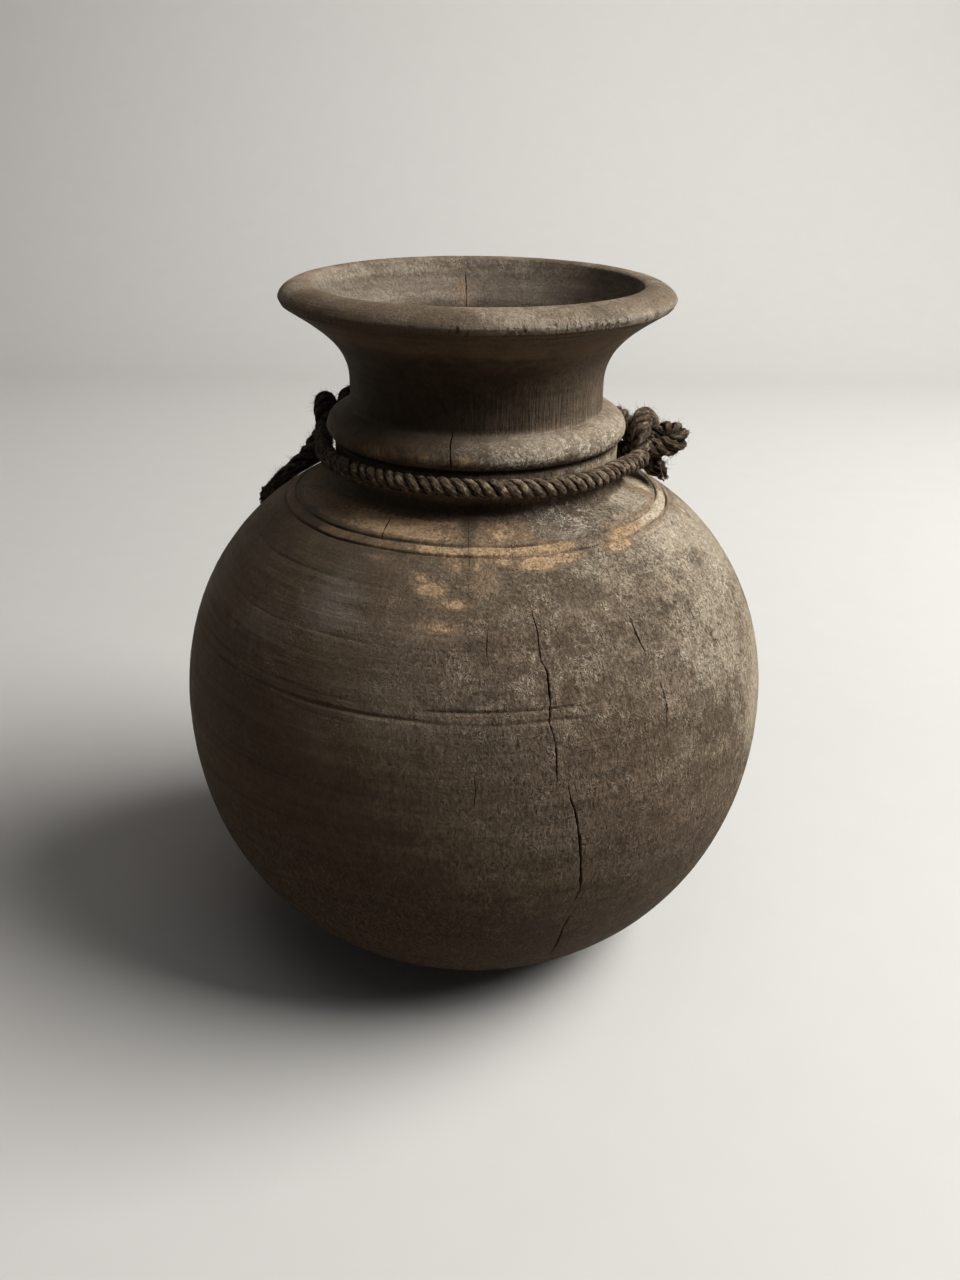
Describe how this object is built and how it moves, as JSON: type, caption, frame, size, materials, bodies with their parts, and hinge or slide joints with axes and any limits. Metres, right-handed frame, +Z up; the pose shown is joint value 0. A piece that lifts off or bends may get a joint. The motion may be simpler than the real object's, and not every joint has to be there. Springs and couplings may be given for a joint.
{
  "type": "wooden pot with rope collar",
  "caption": "Turned wooden storage pot with a round belly, waisted neck, flared lip and open mouth, and a rope collar knotted round the neck for tying or carrying.",
  "frame": {"origin": "centre of the foot, on the surface that the pot stands on", "axes": "+Z up along the axis that the pot was turned on, +Y to the rear, away from the picture's viewer"},
  "size_m": [0.22, 0.22, 0.2559],
  "materials": {
    "old_wood": "old dark patina, dusty, worn to tan wood along the shoulder",
    "rope_fibre": "three-strand laid natural fibre, dark and hairy"
  },
  "bodies": {
    "pot": {"pot": "old_wood"},
    "rope_collar": {"front_rope": "rope_fibre", "right_hitch": "rope_fibre", "right_frayed_end": "rope_fibre", "left_hitch": "rope_fibre", "left_tail": "rope_fibre", "left_frayed_end": "rope_fibre", "rear_rope": "rope_fibre", "right_ear": "rope_fibre", "left_rope_end": "rope_fibre"}
  },
  "joints": [
    {"name": "collar_turn", "type": "hinge", "parent": "pot", "child": "rope_collar", "pos_m": [0, 0, 0.1982], "axis": [0, 0, 1], "continuous": true}
  ]
}
